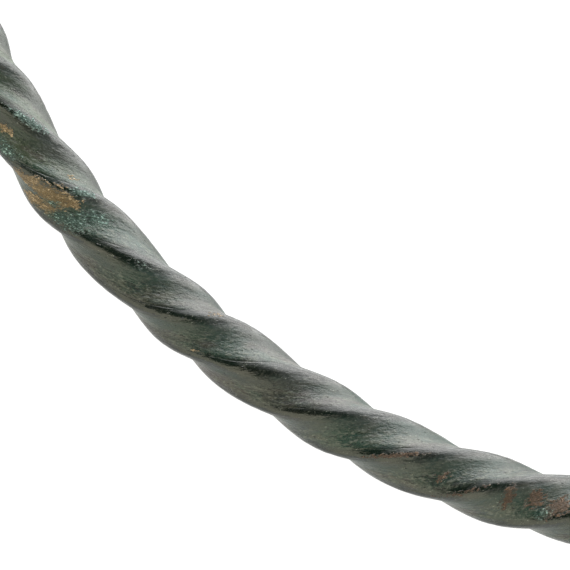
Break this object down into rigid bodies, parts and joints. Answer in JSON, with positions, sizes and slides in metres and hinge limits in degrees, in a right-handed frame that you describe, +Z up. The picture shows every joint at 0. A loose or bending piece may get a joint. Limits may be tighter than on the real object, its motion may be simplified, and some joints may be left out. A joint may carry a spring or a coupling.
{
  "type": "twisted bronze torc",
  "caption": "Open neck ring of one twisted, four-ridged cast bronze bar with dark green patina, its thinned smooth ends rolled outwards into small eyelets.",
  "frame": {"origin": "middle of the bounding box, on the flat surface that the torc lies on", "axes": "+Z up, across the ring's plane; -Y towards the opening between the two eyelets; +X to the right when looking at the opening from -Y"},
  "size_m": [0.1744, 0.1782, 0.0066],
  "materials": {
    "patinated_bronze": "dark green to black patina with a low gloss, browner along the ridges, with a few earth-coloured and turquoise patches"
  },
  "bodies": {
    "root": {"torc": "patinated_bronze"}
  },
  "joints": []
}
